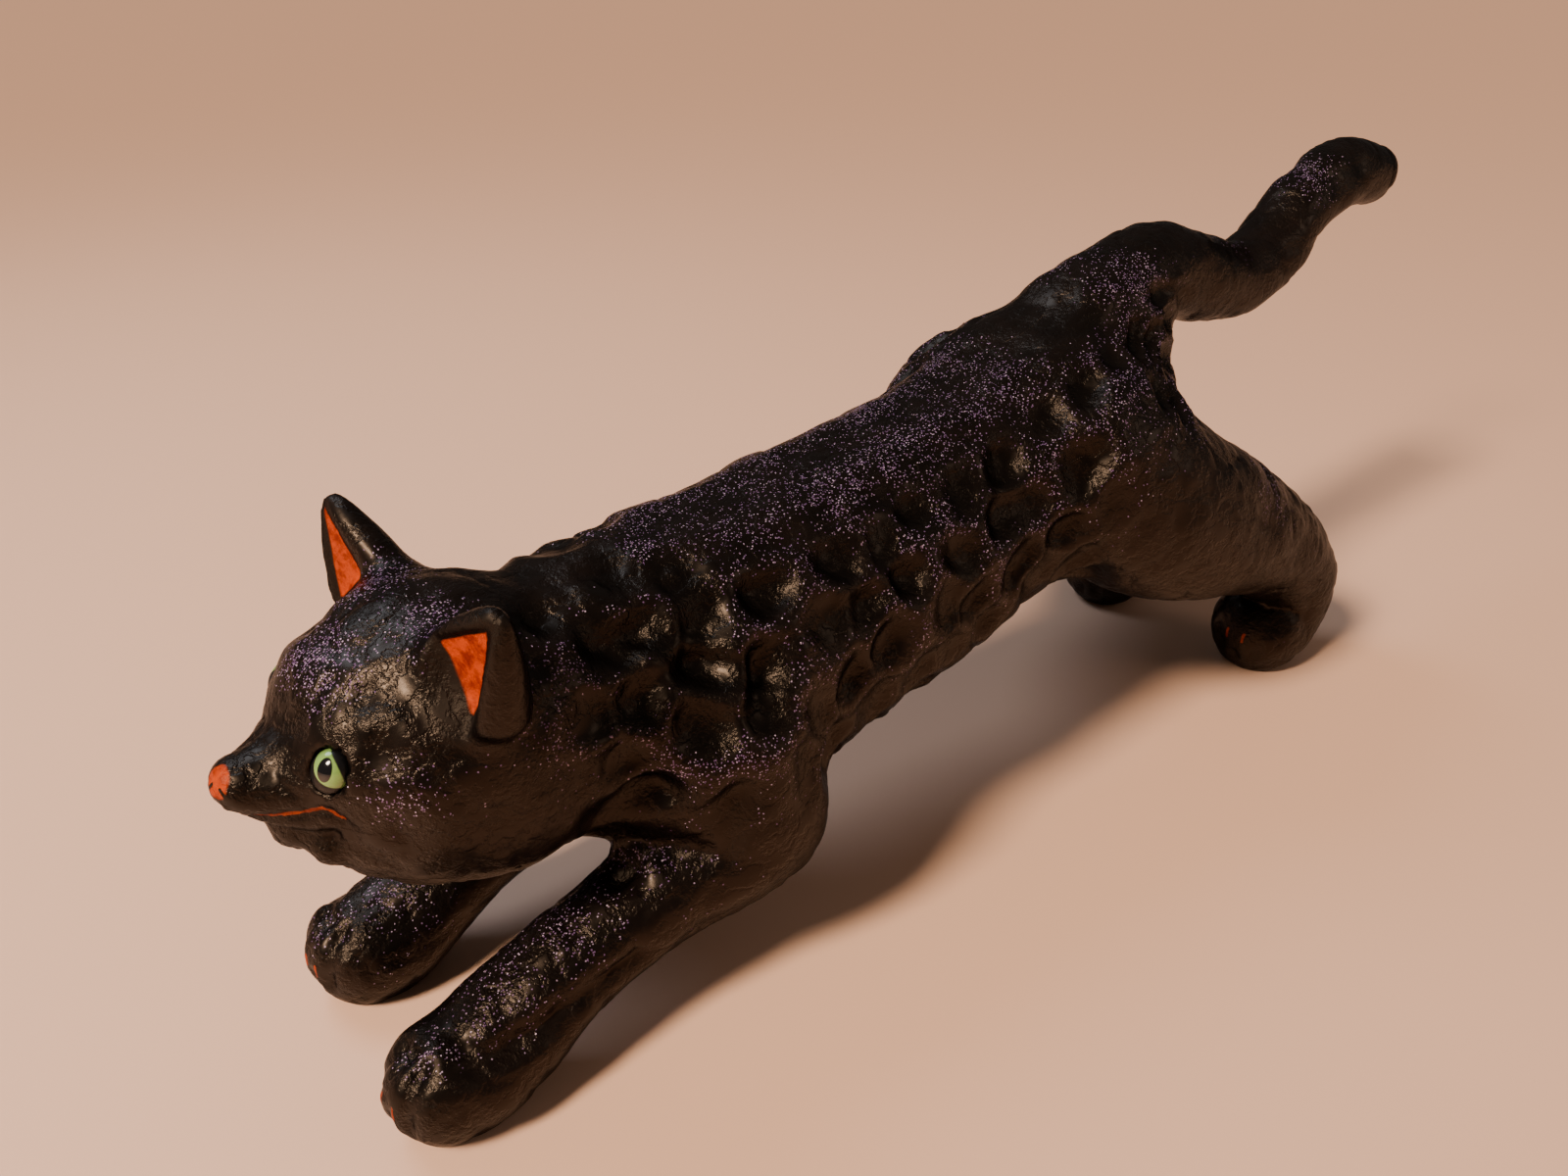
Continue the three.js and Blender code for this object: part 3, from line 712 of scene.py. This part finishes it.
def dabbed(tree, vector, start, end, half_width):
    """The mask of a brush stroke between two places, in millimetres like its half width."""
    sockets = {
        "Vector": vector,
        "Start": (np.array(start) + FRAME_SHIFT) * TO_METRES,
        "End": (np.array(end) + FRAME_SHIFT) * TO_METRES,
        "Half Width": half_width * TO_METRES,
    }
    return add_node(tree, "ShaderNodeGroup", sockets, node_tree=stroke).outputs["Mask"]


paper, tree, shader = new_material("painted_paper")
place = add_node(tree, "ShaderNodeTexCoord").outputs["Object"]
pressed_in = add_node(tree, "ShaderNodeAttribute", attribute_name="pressed").outputs["Fac"]
in_ear = add_node(tree, "ShaderNodeAttribute", attribute_name="ear_paint").outputs["Fac"]
patches = noise_node(tree, place, **PAINT_PATCHES)
streaks = noise_node(tree, place, **PAINT_STREAKS)
black = mixed(tree, ramp(tree, patches, *BROWN_RANGE), BLACK, BROWN_BLACK)
# Painted shade: the black deepens where the surface is pressed in furthest, darkening the hollows.
black = mixed(tree, ramp(tree, pressed_in, *PAINTED_SHADE_RANGE), black, HOLLOW_PAINTED_SHADE)

dusting = add_node(tree, "ShaderNodeAttribute", attribute_name="dust").outputs["Fac"]
fleck = add_node(tree, "ShaderNodeTexVoronoi", {"Vector": place, "Scale": GLITTER["scale"]})
fleck_colours = add_node(tree, "ShaderNodeSeparateColor", {0: fleck.outputs["Color"]}).outputs
there = maths(tree, "LESS_THAN", fleck_colours[0], maths(tree, "MULTIPLY", dusting, GLITTER["share"]))
small = maths(tree, "LESS_THAN", fleck.outputs["Distance"], GLITTER["size"])
glitter = maths(tree, "MULTIPLY", there, small)
by_paint = ramp(tree, in_ear, *BY_PAINT_RANGE)
glitter = maths(tree, "MULTIPLY", glitter, maths(tree, "SUBTRACT", 1.0, by_paint))
lilac = mixed(tree, maths(tree, "POWER", fleck_colours[1], GLITTER["dark"]), LILAC, PALE_LILAC)
coat = mixed(tree, glitter, black, lilac)

sockets = {"Vector": place, "Scale": WOBBLE["scale"], "Detail": 2}
wobble = add_node(tree, "ShaderNodeTexNoise", sockets).outputs["Color"]
wobble = vector_maths(tree, "SUBTRACT", wobble, (0.5, 0.5, 0.5))
sockets = {0: wobble, "Scale": WOBBLE["reach"]}
wobble = add_node(tree, "ShaderNodeVectorMath", sockets, operation="SCALE").outputs[0]
brushed_place = vector_maths(tree, "ADD", place, wobble)
uneven = maths(tree, "MULTIPLY", maths(tree, "SUBTRACT", patches, 0.5), EAR_UNEVEN)
orange_mask = ramp(tree, maths(tree, "ADD", in_ear, uneven), *EAR_RANGE)

# Strokes: start, end, half width and strength. A claw's ends lie so far ahead of its paw, so much of
# its toe's place aside and so far up.
NOSE_STROKE = ((-243.8, 1.4, 102.4), (-244, 1.4, 101.2), 3.1, 1.0)
MOUTH_STROKE = (0.4, 0.5)
CLAW_ENDS = ((16, 0.85, 3.5), (17, 0.9, 0.5))
CLAW_STROKE = (0.5, 0.8)
FRONT_CLAWS = (-11, -3.7, 3.7, 11)
HIND_CLAWS = (-3.7, 3.7)
NOSE_MIDDLE = 1
NOSTRIL_ENDS = ((-243.5, 1.4, 100.8), (-243, 2.6, 99.2))
NOSTRIL_HALF = 0.45
STROKES = [NOSE_STROKE]
for side in (1, -1):
    line = [seated(np.array(spot) * np.array([1, side, 1])) for spot in MOUTH_LINE]
    STROKES += [(start, end, *MOUTH_STROKE) for start, end in zip(line, line[1:])]
for x, y, z in PAWS:
    for toe in FRONT_CLAWS if x < 0 else HIND_CLAWS:
        ends = [seated(np.array([x - ahead, y + aside * toe, z + up])) for ahead, aside, up in CLAW_ENDS]
        STROKES.append((*ends, *CLAW_STROKE))
for start, end, half_width, strength in STROKES:
    mask = dabbed(tree, brushed_place, start, end, half_width)
    orange_mask = maths(tree, "MAXIMUM", orange_mask, maths(tree, "MULTIPLY", mask, strength))
orange = mixed(tree, ramp(tree, streaks, *DEEP_RANGE), ORANGE, DEEP_ORANGE)
coat = mixed(tree, orange_mask, coat, orange)
for side in (1, -1):
    ends = [seated(np.array([ahead, NOSE_MIDDLE + aside * side, up])) for ahead, aside, up in NOSTRIL_ENDS]
    coat = mixed(tree, dabbed(tree, brushed_place, *ends, NOSTRIL_HALF), coat, BLACK)

gloss = maths(tree, "MULTIPLY_ADD", streaks, GLOSS["streaks"], GLOSS["least"])
gloss = maths(tree, "MULTIPLY_ADD", by_paint, GLOSS["by_paint"], gloss)
gloss = maths(tree, "MULTIPLY_ADD", orange_mask, GLOSS["orange"], gloss)
creases = noise_node(tree, place, **FINE_CREASES)
creases = maths(tree, "ABSOLUTE", maths(tree, "SUBTRACT", creases, 0.5))
strip_place = add_node(tree, "ShaderNodeMapping", {"Vector": place, **STRIP_LAY})
strips = add_node(tree, "ShaderNodeTexVoronoi", {"Vector": strip_place.outputs[0], "Scale": STRIP_SCALE})
strip_step = add_node(tree, "ShaderNodeSeparateColor", {0: strips.outputs["Color"]}).outputs[0]
height = maths(tree, "MULTIPLY", strip_step, HEIGHT["strips"])
height = maths(tree, "MULTIPLY_ADD", ramp(tree, creases, *CREASE_RANGE), HEIGHT["creases"], height)
height = maths(tree, "MULTIPLY_ADD", streaks, HEIGHT["streaks"], height)
height = maths(tree, "MULTIPLY_ADD", glitter, HEIGHT["glitter"], height)
bump = add_node(tree, "ShaderNodeBump", {**BUMP, "Height": height}).outputs[0]
for socket, value in (("Base Color", coat), ("Roughness", gloss), ("Normal", bump)):
    tree.links.new(value, shader.inputs[socket])
facing = add_node(tree, "ShaderNodeLayerWeight", {"Blend": 0.5}).outputs["Facing"]
edge_on = ramp(tree, facing, *EDGE_ON_RANGE)
specular = maths(tree, "MULTIPLY_ADD", edge_on, SPECULAR["edge_on"], SPECULAR["facing"])
tree.links.new(specular, shader.inputs["Specular IOR Level"])
shader.inputs["Specular Tint"].default_value = SHEEN
body_mesh.materials.append(paper)
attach(paper_body, "root")
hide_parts("body")

# Eyes. Glossy green domes set into the wet paper, each with a black upright pupil. They are
# surfaces of two angles: one out from the middle of the eye and one round it.
IRIS = (0.20, 0.36, 0.09, 1)
IRIS_RIM = (0.07, 0.15, 0.04, 1)
PUPIL = (0.004, 0.004, 0.005, 1)
PUPIL_PLACE = (1.0, 1.5)
PUPIL_HALF = (1.75, 2.7)
LID_RADIUS = 6.6
UPPER_LID = (-2.1, -0.9)
LOWER_LID = (4.1, 3.9)
PAINT_SHIFT = {-1: (0, 0, 0), 1: (1.0, -0.6, 0)}
IRIS_FIBRES = {"scale": 1.6, "detail": 4, "roughness": 0.7}
PUPIL_RANGE = (1.05, 0.95)
LID_RANGE = (0.98, 1.02)
IRIS_FADE = {"fibres": 0.6, "start": 0.75}
LID_GLOSS = {"eye": 0.12, "lid": 0.3}
EYE_RINGS = 24
EYE_SIDES = 48


def dome(middle, axes):
    """An ellipsoid round an eye's way out: cos(t) along it and sin(t) across, at each angle round."""
    t = np.linspace(0, math.pi, EYE_RINGS + 1)[1:-1]
    turn = np.arange(EYE_SIDES) * 2 * math.pi / EYE_SIDES
    ring = np.stack([
        np.repeat(np.cos(t)[:, None], EYE_SIDES, axis=1),
        np.sin(t)[:, None] * np.cos(turn)[None],
        np.sin(t)[:, None] * np.sin(turn)[None],
    ], axis=-1).reshape(-1, 3)
    unit = np.vstack([ring, [(1, 0, 0), (-1, 0, 0)]])
    first = np.arange((EYE_RINGS - 2) * EYE_SIDES).reshape(-1, EYE_SIDES)
    side = np.roll(first, -1, axis=1)
    quads = np.stack([first, first + EYE_SIDES, side + EYE_SIDES, side], axis=-1).reshape(-1, 4)
    top, bottom = len(ring), len(ring) + 1
    rim, base = np.arange(EYE_SIDES), np.arange(EYE_SIDES) + (EYE_RINGS - 2) * EYE_SIDES
    caps = [(top, a, b) for a, b in zip(rim, np.roll(rim, -1))]
    caps += [(bottom, b, a) for a, b in zip(base, np.roll(base, -1))]
    size = np.array([EYE["thick"], EYE["width"], EYE["height"]])
    return middle + (unit * size) @ axes.T, quads.tolist() + caps


def on_face(places, side):
    """Places across and up the face from the eye's middle, the same for both eyes seen from the nose."""
    middle, axes = eye_frames[side]
    facing = axes[:, 0]
    across = np.cross([0, 0, 1], facing)
    across = -side * across / np.linalg.norm(across)
    upright = np.cross(facing, -side * across)
    flat = (places - middle) @ np.stack([across, upright, facing], axis=1)
    return flat * np.array([1, 1, 0]) - np.array(PAINT_SHIFT[side])


eye_glass, tree, shader = new_material("eye_glass")
flat = add_node(tree, "ShaderNodeAttribute", attribute_name="face_place").outputs["Vector"]


def reach_from(tree, across, up, half_width, half_height):
    """How far a place on the eye lies from a middle, counted in an oval's half width and height."""
    shifted = vector_maths(tree, "SUBTRACT", flat, (across, up, 0))
    scaled = vector_maths(tree, "DIVIDE", shifted, (half_width, half_height, 1))
    return vector_maths(tree, "LENGTH", scaled, result="Value")


from_pupil = reach_from(tree, *PUPIL_PLACE, *PUPIL_HALF)
from_middle = reach_from(tree, *PUPIL_PLACE, EYE["width"], EYE["height"])
fibres = noise_node(tree, flat, **IRIS_FIBRES)
to_rim = maths(tree, "SUBTRACT", from_middle, IRIS_FADE["start"])
to_rim = maths(tree, "MULTIPLY_ADD", fibres, IRIS_FADE["fibres"], to_rim)
iris = mixed(tree, to_rim, IRIS, IRIS_RIM)
iris = mixed(tree, ramp(tree, from_pupil, *PUPIL_RANGE), iris, PUPIL)
upper_lid = reach_from(tree, *UPPER_LID, LID_RADIUS, LID_RADIUS)
lower_lid = reach_from(tree, *LOWER_LID, LID_RADIUS, LID_RADIUS)
on_lid = ramp(tree, maths(tree, "MAXIMUM", upper_lid, lower_lid), *LID_RANGE)
iris = mixed(tree, on_lid, iris, PUPIL)
tree.links.new(iris, shader.inputs["Base Color"])
lid_gloss = maths(tree, "MULTIPLY_ADD", on_lid, LID_GLOSS["lid"], LID_GLOSS["eye"])
tree.links.new(lid_gloss, shader.inputs["Roughness"])
tree.links.new(maths(tree, "SUBTRACT", 1.0, on_lid), shader.inputs["Coat Weight"])
shader.inputs["Specular IOR Level"].default_value = 0.25
shader.inputs["Coat Roughness"].default_value = 0.03
for name, side in (("eye_left", -1), ("eye_right", 1)):
    places, faces = dome(*eye_frames[side])
    mesh = bpy.data.meshes.new(name + "_dome")
    mesh.from_pydata((places + FRAME_SHIFT) * TO_METRES, [], faces)
    mesh.polygons.foreach_set("use_smooth", np.ones(len(faces), bool))
    attribute = mesh.attributes.new("face_place", "FLOAT_VECTOR", "POINT")
    attribute.data.foreach_set("vector", on_face(places, side).astype(np.float32).ravel())
    mesh.update()
    mesh.materials.append(eye_glass)
    eye = bpy.data.objects.new(name + "_dome", mesh)
    bpy.context.scene.collection.objects.link(eye)
    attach(eye, "root")
    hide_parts(name)

# Floor. A plain pale board under the cat.
FLOOR_HALF = 8
FLOOR_COLOUR = (0.86, 0.53, 0.37, 1)
floor_mesh = bpy.data.meshes.new("floor")
floor_corners = [(x * FLOOR_HALF, y * FLOOR_HALF, 0) for x, y in ((-1, -1), (1, -1), (1, 1), (-1, 1))]
floor_mesh.from_pydata(floor_corners, [], [(0, 1, 2, 3)])
board, tree, shader = new_material("pale_board")
shader.inputs["Base Color"].default_value = FLOOR_COLOUR
shader.inputs["Roughness"].default_value = 0.55
floor_mesh.materials.append(board)
floor = bpy.data.objects.new("floor", floor_mesh)
bpy.context.scene.collection.objects.link(floor)

# Camera. At the photo's viewing angle: close to the head, on the cat's left, looking down its length.
PHOTO_WIDTH = 1600
FOCAL_PIXELS = 1300
CAMERA_PLACE = np.array([-300, -257, 271]) + FRAME_SHIFT
CAMERA_HEADING = math.radians(40.84)
CAMERA_PITCH = math.radians(27.4)
camera_data = bpy.data.cameras.new("camera")
camera_data.sensor_width = 36
camera_data.lens = camera_data.sensor_width * FOCAL_PIXELS / PHOTO_WIDTH
camera_data.clip_end = 50
camera = bpy.data.objects.new("camera", camera_data)
bpy.context.scene.collection.objects.link(camera)
camera.location = CAMERA_PLACE * TO_METRES
camera.rotation_euler = (math.pi / 2 - CAMERA_PITCH, 0, -CAMERA_HEADING)
bpy.context.scene.camera = camera

# Light. A warm soft sun and a warm lamp from the head's end, a weak warm lamp from the tail's end on
# the cat's left and a cool one from above on its right. Lamps: name, kind, place, size, power, colour.
KEY_ANGLE = math.radians(12)
LAMP_AIM = np.array([0, 0, 0.09])
WORLD_COLOUR = (1.0, 0.86, 0.76, 1)
WORLD_STRENGTH = 0.12
LAMPS = [
    ("key", "SUN", (-0.95, -0.10, 0.95), 0, 3.9, (1.0, 0.80, 0.62)),
    ("near_key", "AREA", (-0.85, -0.12, 0.80), 0.2, 7.0, (1.0, 0.78, 0.58)),
    ("fill", "AREA", (0.75, -1.05, 0.65), 0.6, 1.5, (1.0, 0.80, 0.66)),
    ("sky", "AREA", (-0.35, 0.65, 0.95), 0.6, 5.0, (0.72, 0.84, 1.0)),
]
for name, kind, place, size, power, colour in LAMPS:
    lamp_data = bpy.data.lights.new(name, kind)
    if kind == "SUN":
        lamp_data.angle = KEY_ANGLE
    else:
        lamp_data.shape = "DISK"
        lamp_data.size = size
    lamp_data.energy = power
    lamp_data.color = colour
    lamp = bpy.data.objects.new(name, lamp_data)
    bpy.context.scene.collection.objects.link(lamp)
    lamp.location = place
    aim = LAMP_AIM - np.array(place)
    level = math.hypot(aim[0], aim[1])
    lamp.rotation_euler = (math.atan2(level, -aim[2]), 0, math.atan2(-aim[0], aim[1]))
world = bpy.data.worlds.new("world")
world.use_nodes = True
background = world.node_tree.nodes["Background"]
background.inputs["Color"].default_value = WORLD_COLOUR
background.inputs["Strength"].default_value = WORLD_STRENGTH
bpy.context.scene.world = world
